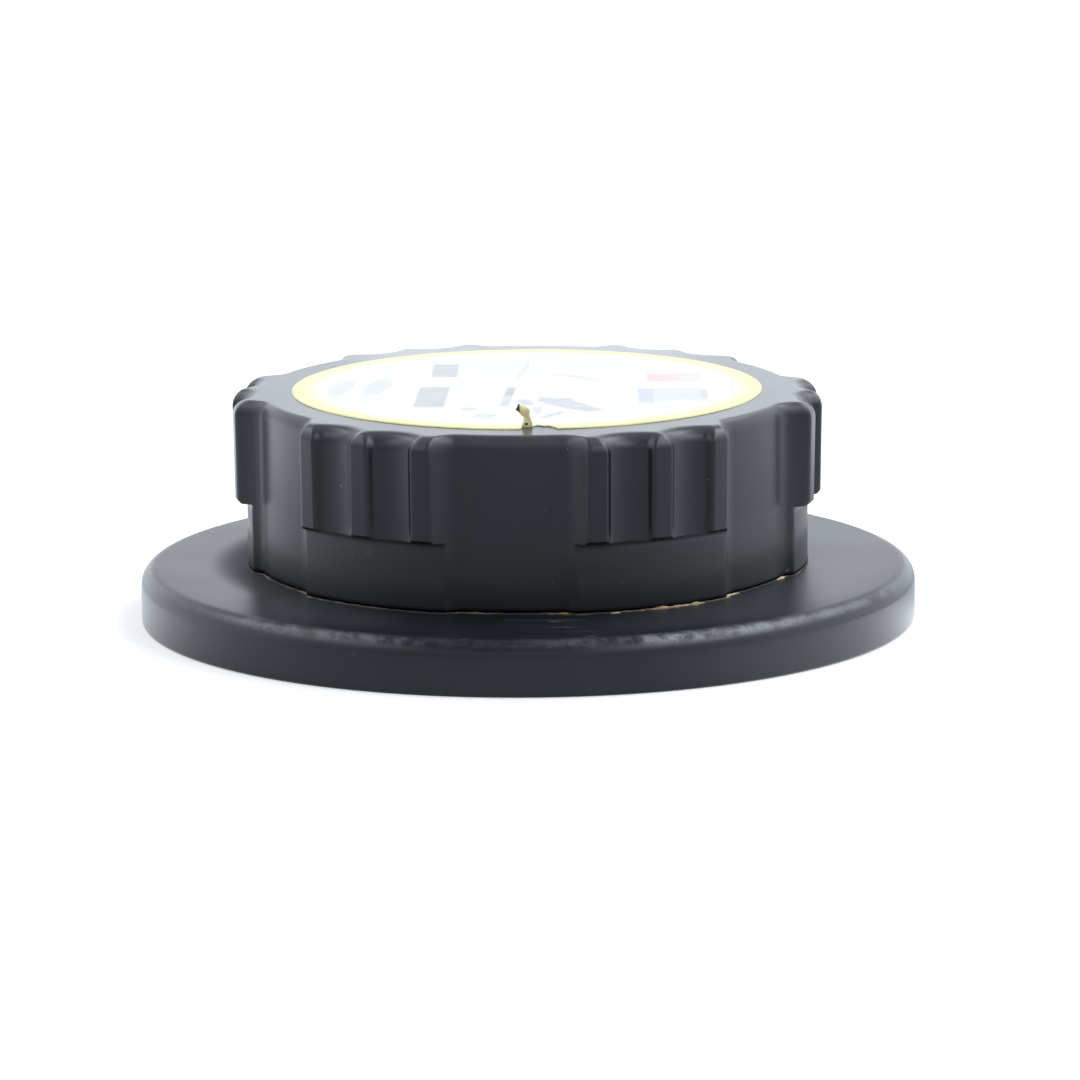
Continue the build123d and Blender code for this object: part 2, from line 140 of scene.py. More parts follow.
# A grid of rows by columns, in mm. Columns close on themselves; rows close too when loop is True.
# Otherwise the first and last rows are poles, gathered into one point each.
def ringMesh(name, grid, loop, sharpAngle=40.0):
    rows, columns = grid.shape[:2]
    index = np.arange(rows * columns).reshape(rows, columns)
    here, after = index[:-1], index[1:]
    if loop:
        here, after = index, np.roll(index, -1, axis=0)
    quads = np.stack([here, after, np.roll(after, -1, axis=1), np.roll(here, -1, axis=1)], axis=-1)
    points = grid.reshape(-1, 3) * mm
    if loop:
        return smoothMesh(name, points, quads.reshape(-1, 4).tolist(), sharpAngle)
    quads = quads[1:-1].reshape(-1, 4)
    first, last = 0, (rows - 1) * columns
    top = np.stack([np.full(columns, first), index[1], np.roll(index[1], -1)], axis=-1)
    foot = np.stack([index[-2], np.full(columns, last), np.roll(index[-2], -1)], axis=-1)
    faces = quads.tolist() + top.tolist() + foot.tolist()
    used = np.unique(np.concatenate([quads.ravel(), top.ravel(), foot.ravel()]))
    place = np.zeros(rows * columns, int)
    place[used] = np.arange(len(used))
    faces = [[int(place[corner]) for corner in face] for face in faces]
    return smoothMesh(name, points[used], faces, sharpAngle)


def around(radius, height, angles):  # radius and height are rows by columns, angles in degrees from +X
    turn = np.radians(angles)[None, :]
    return np.stack([radius * np.cos(turn), radius * np.sin(turn), height + 0 * radius], axis=-1)


def softMin(first, second, width):  # smaller of two, with the crease rounded by a parabola over the width
    gap = np.clip(0.5 + 0.5 * (second - first) / width, 0.0, 1.0)
    return second * (1 - gap) + first * gap - width * gap * (1 - gap)


# A smooth random line round the cap, about -1 to 1: a sum of sines with a rising number of waves, each of
# them with a random phase and strength.
def waves(angles, seed, count=5, lowest=2):
    chance = np.random.default_rng(seed)
    order = lowest + np.arange(count)
    turn = np.radians(angles)[..., None] * order + chance.uniform(0, 2 * pi, count)
    return (np.sin(turn) * chance.uniform(0.5, 1.0, count)).sum(-1) / count ** 0.5


def arc(centre, radius, start, end, count):  # (radius, height) points of a round in the section, angles in degrees
    turn = np.radians(np.linspace(start, end, count))
    return [(centre[0] + radius * cos(value), centre[1] + radius * sin(value)) for value in turn]


# Materials
plasticLook = {  # of both black mouldings
    "colour": (0.0055, 0.0072, 0.0105), "paler": (0.0095, 0.0120, 0.0160), "scuff": (0.36, 0.38, 0.40),
    "roughness": 0.24, "wornRoughness": 0.30, "grain": 0.045, "bump": 0.35, "bumpDepth": 0.0001,
}
flangeLook = {  # heights and radii in mm
    "dust": (0.026, 0.029, 0.034), "roughness": 0.07, "smearRoughness": 0.35, "topFrom": 5.30, "topTo": 5.45,
    "rimRadius": 38.3, "rimHeight": 5.15, "rimWear": 0.75,
    "scratchTurn": 0.5, "scratchStretch": (0.10, 1.8, 1.0), "scratchWear": 0.22, "scratchDepth": 0.10,
}
shellLook = {
    "top": 23.05, "dust": (0.104, 0.108, 0.112), "farGlareTone": (0.36, 0.37, 0.37), "farShare": 0.8, "dustAndSheenDepth": 1.6,
    "neckTop": 12.6, "neckRoughness": 0.02, "neckShadeColour": (0.0020, 0.0028, 0.0045), "neckShadeShare": 0.8,
    "neckShadeFrom": 12.2, "neckShadeTo": 9.5, "seamDepth": 0.12,
}


def blackPlastic(name, flange):
    made, start, shader = material(name)
    place, (x, y, z) = coordinates(start)
    radius = (x * x + y * y) ** 0.5
    cloud = noise(start, place, 60.0, 4.0)
    fine = noise(start, place, 1400.0, 2.0)
    dust = noise(start, place, 420.0, 6.0, 0.7)
    mottle = cloud.rise(0.35, 0.7)
    colour = mottle.blend(plasticLook["colour"], plasticLook["paler"])
    wear = dust.rise(0.66, 0.74) * 0.35 * cloud.rise(0.42, 0.6)
    height = plasticLook["grain"] * fine + 0.06 * cloud
    roughness = plasticLook["roughness"] + 0.10 * cloud
    if flange:
        look = flangeLook
        edge = abs(radius - look["rimRadius"]).rise(0.9, 0.1) * abs(z - look["rimHeight"]).rise(0.75, 0.1)
        patch = noise(start, place, 34.0, 2.0).rise(0.42, 0.62)
        scuffAndHighlight = 0.3 + 0.7 * abs(x).rise(8.0, 14.0) * abs(x).rise(30.0, 26.0)  # whitish scuffs, partly a painted highlight: strongest in bands either side of the middle, where the rim's round catches the light, and fainter in the middle and at the ends
        wear = wear.most(edge * scuffAndHighlight * (0.35 + 0.65 * patch) * dust.rise(0.36, 0.62) * look["rimWear"])
        stretched = {"Vector": place, "Rotation": (0.0, 0.0, look["scratchTurn"]), "Scale": look["scratchStretch"]}
        long = start.node("ShaderNodeMapping", None, stretched)
        line = abs(noise(start, long, 300.0, 1.0) - 0.5).rise(0.010, 0.0)  # thin where the noise crosses its middle
        flat = z.rise(look["topFrom"], look["topTo"])
        smear = radius.rise(32.5, 28.5) * x.rise(-15.0, -27.0)  # a dull greasy patch beside the neck
        scratch = line * noise(start, place, 110.0, 2.0).rise(0.56, 0.66) * flat
        wear = wear.most(scratch * look["scratchWear"])
        roughness = roughness + look["roughness"] * flat + look["smearRoughness"] * smear
        dusty = radius.rise(37.5, 34.0) * cloud.rise(0.20, 0.50) * abs(x).rise(3.0, 17.0)
        colour = dusty.blend(colour, look["dust"])
        height = height - look["scratchDepth"] * scratch
    else:
        look = shellLook
        # The top face and its round edge are greyed towards the dust tone: real dust, plus a painted sheen where the
        # top catches the light
        dusty = z.rise(look["top"] - 0.15, look["top"]) * (0.75 + 0.5 * dust)
        farGlare = y.rise(8.0, 22.0) * abs(x).rise(24.0, 12.0)  # a painted glare that whitens the far side of the top towards pale grey
        dustAndSheenBand = z.rise(look["top"] - look["dustAndSheenDepth"], look["top"]) * (0.25 + 0.5 * cloud)
        colour = dusty.most(dustAndSheenBand).blend(colour, (farGlare * look["farShare"]).blend(look["dust"], look["farGlareTone"]))
        seam = abs(z - look["neckTop"]).rise(0.12, 0.02)  # the mould's parting line, where the ribs end
        neck = z.rise(look["neckTop"] + 0.2, look["neckTop"] - 0.8)
        roughness = roughness + look["neckRoughness"] * neck
        # painted shade: the neck darkened from under the ribs down to its foot
        colour = (z.rise(look["neckShadeFrom"], look["neckShadeTo"]) * look["neckShadeShare"]).blend(colour, look["neckShadeColour"])
        height = height - look["seamDepth"] * seam
    colour = wear.blend(colour, plasticLook["scuff"])
    roughness = roughness + plasticLook["wornRoughness"] * wear
    feed(start, shader, Base_Color=colour, Roughness=roughness,
         Height=(height, plasticLook["bump"], plasticLook["bumpDepth"]))
    return made


labelLook = {  # ring and edge in mm
    "film": (0.742, 0.715, 0.662), "filmOther": (0.706, 0.683, 0.632), "farSide": (0.68, 0.67, 0.60), "farShare": 0.5,
    "ring": (0.76, 0.735, 0.28), "ringInner": 21.35, "ringGlow": 0.16, "sharpness": 0.12,
    "dirt": (0.30, 0.28, 0.20), "dirtShare": 0.18, "speckShare": 0.4,
}
# The print as plain fields of colour: tint, strength, and shapes of form, centre, half size and turn. Sizes
# are in mm, with y to the back, and turns in degrees.
labelPrint = [
    ((0.27, 0.28, 0.30), 0.66, [("bar", (-9.45, -5.4), (1.5, 5.8), -2.5), ("bar", (-8.3, 10.3), (1.3, 3.9), -1)]),
    ((0.42, 0.45, 0.49), 0.44, [("oval", (-18.6, 0.6), (1.1, 5.0), -8), ("oval", (-15.0, 0.7), (1.25, 5.2), -8)]),
    ((0.30, 0.35, 0.36), 0.58, [("bar", (-1.85, -5.4), (0.45, 5.5), -4), ("bar", (-0.1, -8.8), (0.6, 1.7), 12)]),
    ((0.42, 0.44, 0.48), 0.32, [("bar", (-0.3, 10.6), (0.33, 5.2), -6), ("bar", (20.7, -2.0), (0.2, 5.9), 0)]),
    ((0.32, 0.34, 0.39), 0.66, [("bar", (2.9, -7.6), (1.7, 1.0), 0), ("bar", (4.8, -11.2), (0.95, 3.4), 37),
                                ("oval", (4.0, -10.0), (1.5, 4.4), 33), ("bar", (2.6, -15.9), (0.40, 2.0), -30)]),
    ((0.40, 0.42, 0.34), 0.50, [("bar", (-5.7, -12.4), (0.75, 0.9), 0), ("bar", (-4.1, -16.5), (1.05, 1.4), -10),
                                ("bar", (1.1, -13.6), (0.4, 2.4), 0)]),
    ((0.20, 0.24, 0.26), 0.45, [("bar", (-1.65, -2.6), (0.40, 2.2), -4)]),
    ((0.40, 0.44, 0.50), 0.38, [("bar", (14.5, -5.0), (3.45, 3.8), 0)]),
    ((0.36, 0.39, 0.47), 0.44, [("bar", (11.9, -5.7), (0.75, 4.0), 0), ("oval", (17.7, -4.8), (0.35, 3.0), 0)]),
    ((0.72, 0.22, 0.16), 0.42, [("bar", (13.8, 5.4), (1.65, 2.5), 0)]),
    ((0.50, 0.36, 0.34), 0.32, [("bar", (16.6, 5.3), (1.1, 2.5), 0), ("oval", (5.2, 5.8), (0.5, 3.7), 46)]),
]


def printedShape(x, y, form, centre, size, turn):  # mask of one bar or oval of the print
    turn, edge = radians(turn), labelLook["sharpness"]
    across = (x - centre[0]) * cos(turn) + (y - centre[1]) * sin(turn)
    along = (y - centre[1]) * cos(turn) - (x - centre[0]) * sin(turn)
    if form == "oval":
        return ((across / size[0]) ** 2.0 + (along / size[1]) ** 2.0).rise(1.4, 0.7)
    return abs(across).rise(size[0] + edge, size[0] - edge) * abs(along).rise(size[1] + 0.4, size[1] - 0.4)


def labelFilm(name):
    look = labelLook
    made, start, shader = material(name, 0.35, Coat_Weight=0.25, Coat_Roughness=0.15)
    place, (x, y, _) = coordinates(start)
    radius = (x * x + y * y) ** 0.5
    smear = noise(start, place, 300.0, 4.0)
    cloud = noise(start, place, 45.0, 3.0)
    colour = cloud.rise(0.3, 0.75).blend(look["film"], look["filmOther"])
    colour = (y.rise(2.0, 16.0) * look["farShare"]).blend(colour, look["farSide"])
    for tint, strength, shapes in labelPrint:
        mask = printedShape(x, y, *shapes[0])
        for shape in shapes[1:]:
            mask = mask.most(printedShape(x, y, *shape))
        colour = (mask * strength * (0.75 + 0.4 * smear)).blend(colour, tint)
    colour = (radius.rise(16.5, 21.4) * look["ringGlow"]).blend(colour, look["ring"])
    colour = radius.rise(look["ringInner"] - 0.9, look["ringInner"] + 1.3).blend(colour, look["ring"])
    dirt = radius.rise(22.9, 23.6) * smear.rise(0.45, 0.7) * look["dirtShare"]
    speck = noise(start, place, 700.0, 2.0).rise(0.72, 0.78) * look["speckShare"]
    colour = dirt.most(speck).blend(colour, look["dirt"])
    feed(start, shader, Base_Color=colour, Roughness=0.28 + 0.22 * smear, Height=(cloud + 0.3 * smear, 0.25, 0.0002))
    return made


crustLook = {  # dull on the left, warm on the right, each in two tones
    "dull": (0.13, 0.10, 0.06), "dullPale": (0.36, 0.32, 0.17),
    "warm": (0.36, 0.22, 0.10), "warmPale": (0.66, 0.56, 0.34),
}
grimeLook = {"dark": (0.026, 0.026, 0.026), "brown": (0.16, 0.125, 0.07)}
sliverLook = {
    "yellow": (0.95, 0.88, 0.50), "ochre": (0.88, 0.74, 0.38), "brown": (0.36, 0.19, 0.05), "brownShare": 0.32,
    "dark": (0.04, 0.03, 0.02), "footShadeShare": 0.7,
}


def driedCrust(name):
    look = crustLook
    made, start, shader = material(name)
    place, (x, _, _) = coordinates(start)
    grain = noise(start, place, 900.0, 4.0, 0.7)
    patch = noise(start, place, 260.0, 2.0).rise(0.4, 0.62)
    dull = patch.blend(look["dull"], look["dullPale"])
    warm = patch.blend(look["warm"], look["warmPale"])
    colour = x.rise(-6.0, 2.0).blend(dull, warm)
    feed(start, shader, Base_Color=colour, Roughness=0.45 + 0.3 * grain, Height=(grain, 0.7, 0.0002))
    return made


def grimyLine(name):
    made, start, shader = material(name)
    place, _ = coordinates(start)
    grain = noise(start, place, 700.0, 4.0, 0.7)
    patch = noise(start, place, 150.0, 3.0).rise(0.46, 0.68)
    colour = patch.blend(grimeLook["dark"], grimeLook["brown"])
    feed(start, shader, Base_Color=colour, Roughness=0.55 + 0.3 * grain, Height=(grain, 0.6, 0.0002))
    return made


def tornFilm(name):
    look = sliverLook
    made, start, shader = material(name)
    place, (x, _, z) = coordinates(start)
    grain = noise(start, place, 1500.0, 3.0)
    spots = noise(start, place, 1000.0, 1.0).rise(0.61, 0.65)
    colour = grain.rise(0.35, 0.65).blend(look["yellow"], look["ochre"])
    brown = (x + 0.30 * (z - 23.1)).rise(0.32, 0.50)  # along the right edge, which leans to the left
    tip = x.rise(-0.58, -0.70)
    # painted shade: the sliver's foot darkened where it stands on the label
    foot = z.rise(23.4, 23.2)
    colour = (brown * look["brownShare"]).blend(colour, look["brown"])
    colour = spots.most(tip).most(foot * look["footShadeShare"]).blend(colour, look["dark"])
    feed(start, shader, Base_Color=colour, Roughness=0.35 + 0.3 * grain, Height=(grain, 0.6, 0.0002))
    return made


# Finish of an inner piece: two tones in soft clouds, a fine grain that stretch can draw out along the piece.
def plainFinish(name, colour, other, roughness, metallic=0.0, scale=220.0, bump=0.2, stretch=(1.0, 1.0, 1.0)):
    made, start, shader = material(name, roughness, metallic)
    place, _ = coordinates(start)
    stretched = start.node("ShaderNodeMapping", None, {"Vector": place, "Scale": stretch})
    cloud = noise(start, place, scale * 0.3, 4.0)
    fine = noise(start, stretched, scale * 4, 2.0)
    base = cloud.rise(0.3, 0.7).blend(colour, other)
    rough = roughness + 0.14 * cloud - 0.05 + 0.10 * fine
    feed(start, shader, Base_Color=base, Roughness=rough, Height=(0.5 * cloud + 0.3 * fine, bump, 0.0001))
    return made


finishes = {
    "blackShell": blackPlastic("black_shell", False),
    "blackFlange": blackPlastic("black_flange", True),
    "film": labelFilm("printed_film"),
    "grey": plainFinish("dark_grey_plastic", (0.045, 0.047, 0.052), (0.06, 0.062, 0.068), 0.42),
    "pale": plainFinish("pale_plastic", (0.70, 0.68, 0.60), (0.62, 0.60, 0.52), 0.38),
    "rubber": plainFinish("seal_rubber", (0.016, 0.016, 0.017), (0.026, 0.026, 0.027), 0.55, bump=0.35),
    "steel": plainFinish("spring_steel", (0.52, 0.53, 0.54), (0.42, 0.43, 0.45), 0.26, 1.0, stretch=(1.0, 1.0, 6.0)),
    "brass": plainFinish("turned_brass", (0.72, 0.55, 0.27), (0.60, 0.44, 0.20), 0.25, 1.0),
    "crust": driedCrust("dried_crust"),
    "grime": grimyLine("seam_grime"),
    "sliver": tornFilm("torn_film"),
}
print("materials made")


def dress(piece, finish, body, slot, *nodes):  # gives finish and body, slot is not used; nodes are what the piece replaces
    piece.data.materials.clear()
    piece.data.materials.append(finishes[finish])
    if nodes:
        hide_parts(*nodes)
    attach(piece, body)
    return piece


# Grip shell
grip = {  # mm, and degrees for turn, grooveTurn and soften
    "top": 23.1, "ribRadius": 29.65, "lobeRadius": 28.2, "hollowRadius": 27.3,
    # half width, how far the floor bows out at that width, slope of the sides, rounding of the crease, and the
    # share of the drawing in that the dip follows
    "hollow": {"half": 6.14, "bowl": 0.0, "steep": 1.66, "blend": 2.0, "share": 0.5},
    "groove": {"half": 1.88, "bowl": 0.45, "steep": 4.0, "blend": 0.35, "share": 1.0},
    "grooveRadius": 28.3, "grooveTurn": 6.55, "middle": 28.6,
    "topRound": 1.7, "ribFoot": 12.65, "footChamfer": 0.5, "draft": 0.16, "draftHeight": 9.0, "soften": 0.24,
    "turn": -93.5, "foot": 5.9, "inner": 25.4, "ceiling": 21.1,
}
clutch = {"teeth": 24, "root": 24.2, "tip": 22.9, "flat": 5.0, "crest": 1.6, "foot": 16.7}  # flat, crest in degrees
hooks = {"half": 8.0, "foot": 8.9, "depth": 0.95, "height": 1.4}  # half their width in degrees
groups = 6
groupAngle = 360.0 / groups
gripMesh = {  # columns in degrees, rows as shares or heights in mm
    "hollowHalf": 11.5, "hollowColumns": 17, "ribFrom": 12.0, "ribTo": 48.0, "step": 0.27, "least": 0.004,
    "topShares": (0.0, 0.3, 0.6, 0.8, 0.9, 0.96, 0.985), "roundStep": 7,
    "crownRows": (21.1, 20.4, 19.4, 17.8, 16.2, 14.8, 13.8), "footShares": (1.0, 0.72, 0.45, 0.2, 0.06, 0.0),
    "neckRows": (10.6, 9.0, 7.4, 6.3, 6.1), "ceilingShares": (1.0, 0.6, 0.0),
}
blur = {"step": 0.05, "reach": 40}  # of the outline: the step in degrees, and the steps to either side


# A dip in the outline: a floor bowed as a parabola with a straight side rising at a steady slope, the crease
# between them rounded. Both move inwards by drawn times the dip's share, square to themselves: the floor by
# that much, and the side by that much times sqrt(1 + slope^2).
def dip(off, floor, shape, drawn):
    taken = shape["share"] * drawn
    off = np.radians(off) * grip["middle"]
    bowed = floor + shape["bowl"] * np.minimum(off / shape["half"], 2.0) ** 2 - taken
    side = floor + shape["steep"] * (off - shape["half"]) - taken * (1 + shape["steep"] ** 2) ** 0.5
    return -softMin(-side, -bowed, shape["blend"])


# Radius of the grip's plan at an angle from a hollow's middle: the smallest of the rib circle, the hollow
# and the group's two grooves, all drawn in by some mm.
def gripOutline(away, outer, grooved, drawn):
    away = np.abs((away + groupAngle / 2) % groupAngle - groupAngle / 2)
    radius = np.minimum(dip(away, grip["hollowRadius"], grip["hollow"], drawn), outer - drawn)
    if grooved:
        off = np.abs(groupAngle / 2 - away - grip["grooveTurn"])
        radius = np.minimum(radius, dip(off, grip["grooveRadius"], grip["groove"], drawn))
    return radius


# The same plan blurred along the angle with a bell curve, so that its corners are moulded round.
def softOutline(columns, outer, grooved, width, drawn=0.0):
    step, reach = blur["step"], blur["reach"]
    fineAngles = np.arange(0, groupAngle, step)
    sharp = gripOutline(fineAngles, outer, grooved, drawn)
    bell = np.exp(-0.5 * (np.arange(-reach, reach + 1) * step / width) ** 2)
    padded = np.concatenate([sharp[-reach:], sharp, sharp[:reach]])
    soft = np.convolve(padded, bell / bell.sum(), "valid")
    return np.interp(columns % groupAngle, np.append(fineAngles, groupAngle), np.append(soft, soft[0]))


def gripColumns():  # angles from +X: dense over ribs and ramps, sparse over the hollows' floors
    hollow = np.linspace(-gripMesh["hollowHalf"], gripMesh["hollowHalf"], gripMesh["hollowColumns"])
    part = np.concatenate([hollow, np.arange(gripMesh["ribFrom"], gripMesh["ribTo"], gripMesh["step"])])
    crown = np.concatenate([part + groupAngle * group for group in range(groups)]) + grip["turn"]
    pitch = 360.0 / clutch["teeth"]
    breaks = np.array([0.03, clutch["flat"], pitch - clutch["crest"], pitch - 0.03])
    teeth = np.concatenate([breaks + pitch * tooth for tooth in range(clutch["teeth"])])
    edges = np.array([-1, 1])[:, None] * np.array([hooks["half"], hooks["half"] + 0.06])
    ledges = np.concatenate([edges.ravel() + groupAngle * group for group in range(groups)]) + grip["turn"]
    columns = np.sort(np.concatenate([crown, teeth, ledges]) % 360.0)
    return columns[np.append(np.diff(columns) > gripMesh["least"], True)]


# A skin of rings, from the middle of the top out over the round edge, down the ribs and the neck, in under
# the foot and up inside to the ceiling. Outside, a ring's radius is the soft outline drawn in for the round,
# less a draft on the ribs. Inside it is a circle, less the snap ledges, and higher up less saw teeth that rise
# in a straight ramp over each pitch.
def makeGrip():
    angles = gripColumns()
    away = angles - grip["turn"]
    top, edge, soften = grip["top"], grip["topRound"], grip["soften"]
    rib = softOutline(away, grip["ribRadius"], True, soften)
    lobe = softOutline(away, grip["lobeRadius"], False, soften)
    standing = np.clip((rib - lobe) / (grip["ribRadius"] - grip["lobeRadius"]), 0, 1)
    rows = []

    def row(radius, height):
        rows.append((radius + 0 * angles, height + 0 * angles))

    def side(height):  # outer radius of the ribbed crown at a height
        return rib - grip["draft"] * standing * (top - edge - height) / grip["draftHeight"]

    rim = softOutline(away, grip["ribRadius"], True, soften, edge)
    for share in gripMesh["topShares"]:
        row(rim * share, top)
    # quarter round of the top edge: the outline drawn in by 1 - cos, square to itself
    for turn in range(90, 0, -gripMesh["roundStep"]):
        drawn = edge * (1 - cos(radians(turn)))
        row(softOutline(away, grip["ribRadius"], True, soften, drawn), top - edge + edge * sin(radians(turn)))
    for height in (top - edge, *gripMesh["crownRows"]):
        row(side(height), height)
    chamfer, foot = grip["footChamfer"], grip["ribFoot"]
    for share in gripMesh["footShares"]:  # chamfered foot of the ribs, then their flat underside
        limit = grip["ribRadius"] - chamfer * (1 - share) - 0.04 * (share < 0.05)
        row(np.minimum(side(foot + chamfer * share), limit), foot + chamfer * share)
    row(np.minimum(side(foot), lobe + 0.05), foot)
    for height in (foot - 0.06, foot - 0.9, *gripMesh["neckRows"]):
        row(lobe, height)
    row(lobe - 0.03, grip["foot"] + 0.1)
    row(lobe - 0.12, grip["foot"])
    row(grip["inner"] + 0.1, grip["foot"])
    row(grip["inner"], grip["foot"] + 0.1)

    group = np.abs((away + groupAngle / 2) % groupAngle - groupAngle / 2)
    ledge = grip["inner"] - hooks["depth"] * (group < hooks["half"] + 0.03)
    row(grip["inner"], hooks["foot"] - hooks["depth"])
    row(ledge, hooks["foot"])
    row(ledge, hooks["foot"] + hooks["height"])
    row(grip["inner"], hooks["foot"] + hooks["height"])

    pitch = 360.0 / clutch["teeth"]
    phase = angles % pitch
    ramp = np.clip((phase - clutch["flat"]) / (pitch - clutch["crest"] - clutch["flat"]), 0, 1)
    tooth = clutch["root"] - (clutch["root"] - clutch["tip"]) * ramp * (phase > 0.02) * (phase < pitch - 0.02)
    row(grip["inner"], clutch["foot"])
    row(tooth, clutch["foot"])
    for share in gripMesh["ceilingShares"]:
        row(tooth * share, grip["ceiling"])
    radius, height = (np.array([entry[part] for entry in rows]) for part in (0, 1))
    return ringMesh("gripShell", around(radius, height, angles), False)


dress(makeGrip(), "blackShell", "grip", "black_plastic", "grip_shell")
print("grip shell made")


# Flanged body with its thread
body = {  # radii and heights in mm
    "rim": 39.0, "rimRound": 1.8, "footRound": 0.35, "flangeTop": 5.7, "fall": 0.15, "roofFoot": 3.4,
    "rimInner": 36.8, "skirt": 25.1, "skirtFoot": 0.8, "groove": 24.15, "grooveFoot": 7.65, "grooveTop": 10.6,
    "roof": 16.2, "roofUnder": 14.0, "hole": 14.66, "root": 22.9, "mouth": 0.8,
}
thread = {  # mm, with the length and the fading of its ends in turns
    "pitch": 4.0, "depth": 1.25, "crest": 0.55, "flank": 0.75, "foot": 2.6, "turns": 2.3, "fade": 0.12,
}
bodyMesh = {"columns": 480, "threadRows": 68, "flangeRows": (27.0, 29.0, 32.0, 35.0), "rimRows": (2.9, 1.6, 0.6)}
flangeRibs = {"count": 12, "first": 15, "inner": 24.6, "length": 12.6, "width": 1.4, "foot": 1.0, "top": 3.9}
roofKeys = {"count": 6, "first": 0, "inner": 16.84, "length": 1.0, "width": 1.8, "foot": 15.7, "top": 18.7}


# How far the thread stands in from the wall: across the ridge a flat crest with straight flanks, its
# middle rising by one pitch a turn, and both ends of the ridge sinking back into the wall.
def threadRidge(angles, heights):
    turn = (angles[None, :] % 360.0) / 360.0
    lap = np.round((heights[:, None] - thread["foot"]) / thread["pitch"] - turn)
    across = np.abs(heights[:, None] - thread["foot"] - (lap + turn) * thread["pitch"])
    run = lap + turn
    ends = np.clip(run / thread["fade"], 0, 1) * np.clip((thread["turns"] - run) / thread["fade"], 0, 1)
    ends = ends * ends * (3 - 2 * ends)
    ridge = np.clip(1 - (across - thread["crest"]) / thread["flank"], 0, 1)
    return thread["depth"] * ridge * ends


# A closed section turned round the axis: the roof, the skirt's outside with the snap groove, the flange with
# its round rim, hollow below, and the skirt's inside, where the radius is the wall less the thread's ridge.
def makeBody():
    angles = np.linspace(0, 360, bodyMesh["columns"], endpoint=False)
    slope = body["fall"] / (body["rim"] - body["skirt"])
    outerTop = body["flangeTop"] - body["fall"]
    section = [(body["hole"], body["roof"]), (body["skirt"] - 0.3, body["roof"]),
               (body["skirt"], body["roof"] - 0.3), (body["skirt"], body["grooveTop"]),
               (body["groove"], body["grooveTop"]), (body["groove"], body["grooveFoot"]),
               (body["skirt"], body["grooveFoot"]), (body["skirt"], body["flangeTop"])]
    for radius in bodyMesh["flangeRows"]:
        section.append((radius, body["flangeTop"] - slope * (radius - body["skirt"])))
    rimRound = body["rimRound"]
    section += arc((body["rim"] - rimRound, outerTop - rimRound), rimRound, 89, 0, 14)
    section += [(body["rim"], height) for height in bodyMesh["rimRows"]]
    footRound = body["footRound"]
    section += arc((body["rim"] - footRound, footRound), footRound, 0, -90, 6)
    section += [(body["rimInner"] + 0.25, 0.0), (body["rimInner"], 0.25), (body["rimInner"], body["roofFoot"] - 0.35),
                (body["rimInner"] - 0.35, body["roofFoot"]), (31.0, body["roofFoot"]),
                (body["skirt"] + 0.4, body["roofFoot"]), (body["skirt"], body["roofFoot"] - 0.4),
                (body["skirt"], body["skirtFoot"] + 0.2), (body["skirt"] - 0.2, body["skirtFoot"]),
                (body["root"] + body["mouth"], body["skirtFoot"])]
    inside = np.linspace(body["skirtFoot"] + body["mouth"], body["roofUnder"] - 0.1, bodyMesh["threadRows"])
    ridge = threadRidge(angles, inside)
    profile = np.array(section)
    closing = np.array([(body["root"] - 0.1, body["roofUnder"]), (body["hole"] + 0.1, body["roofUnder"]),
                        (body["hole"], body["roofUnder"] + 0.1)])
    radius = np.concatenate([profile[:, :1] + 0 * angles, body["root"] - ridge, closing[:, :1] + 0 * angles])
    height = np.concatenate([profile[:, 1], inside, closing[:, 1]])[:, None] + 0 * radius
    return ringMesh("flangedBody", around(radius, height, angles), True)


# A plate with rounded edges: a rounded rectangle in plan, carried upwards, with its ends drawn in a little.
def platePoints(plate, angle):
    length, width, foot, top = (plate[key] for key in ("length", "width", "foot", "top"))
    soft = 0.18  # radius of the upright edges
    corners = []
    for x, y, start in ((length - soft, width / 2 - soft, 0), (soft, width / 2 - soft, 90),
                        (soft, soft - width / 2, 180), (length - soft, soft - width / 2, 270)):
        corners += arc((x, y), soft, start, start + 90, 4)
    plan = np.array(corners)
    middle = np.array([length / 2, 0.0])
    rows = []
    for share, height in ((0.0, foot), (0.94, foot), (0.985, foot + 0.06), (1.0, foot + 0.18),
                          (1.0, top - 0.05), (1.0, top), (0.0, top)):
        flat = middle + (plan - middle) * share
        rows.append(np.column_stack([flat, np.full(len(flat), height)]))
    grid = np.array(rows)[::-1]
    turn = radians(angle)
    x, y = grid[..., 0] + plate["inner"], grid[..., 1].copy()
    return np.stack([x * cos(turn) - y * sin(turn), x * sin(turn) + y * cos(turn), grid[..., 2]], axis=-1)


def joined(name, pieces):  # several meshes as one object
    whole = bmesh.new()
    for piece in pieces:
        whole.from_mesh(piece.data)
        bpy.data.objects.remove(piece)
    data = bpy.data.meshes.new(name)
    whole.to_mesh(data)
    whole.free()
    data.shade_smooth()
    data.set_sharp_from_angle(angle=radians(40))
    made = bpy.data.objects.new(name, data)
    bpy.context.scene.collection.objects.link(made)
    return made


dress(makeBody(), "blackFlange", "cap_body", "black_plastic", "threaded_body")
plates = []
for plate in (flangeRibs, roofKeys):
    for index in range(plate["count"]):
        angle = plate["first"] + 360 / plate["count"] * index
        plates.append(ringMesh("plate", platePoints(plate, angle), False))
dress(joined("bodyRibs", plates), "blackFlange", "cap_body", "black_plastic")
print("flanged body made")


# Label with its torn edge and sliver
film = {
    "radius": 23.6, "foot": 23.1, "thick": 0.12, "biteAngle": -87.1, "biteRadius": 1.85, "biteCentre": 23.7,
    "lift": 0.05, "liftWidth": 6.0, "wander": 0.012,
}


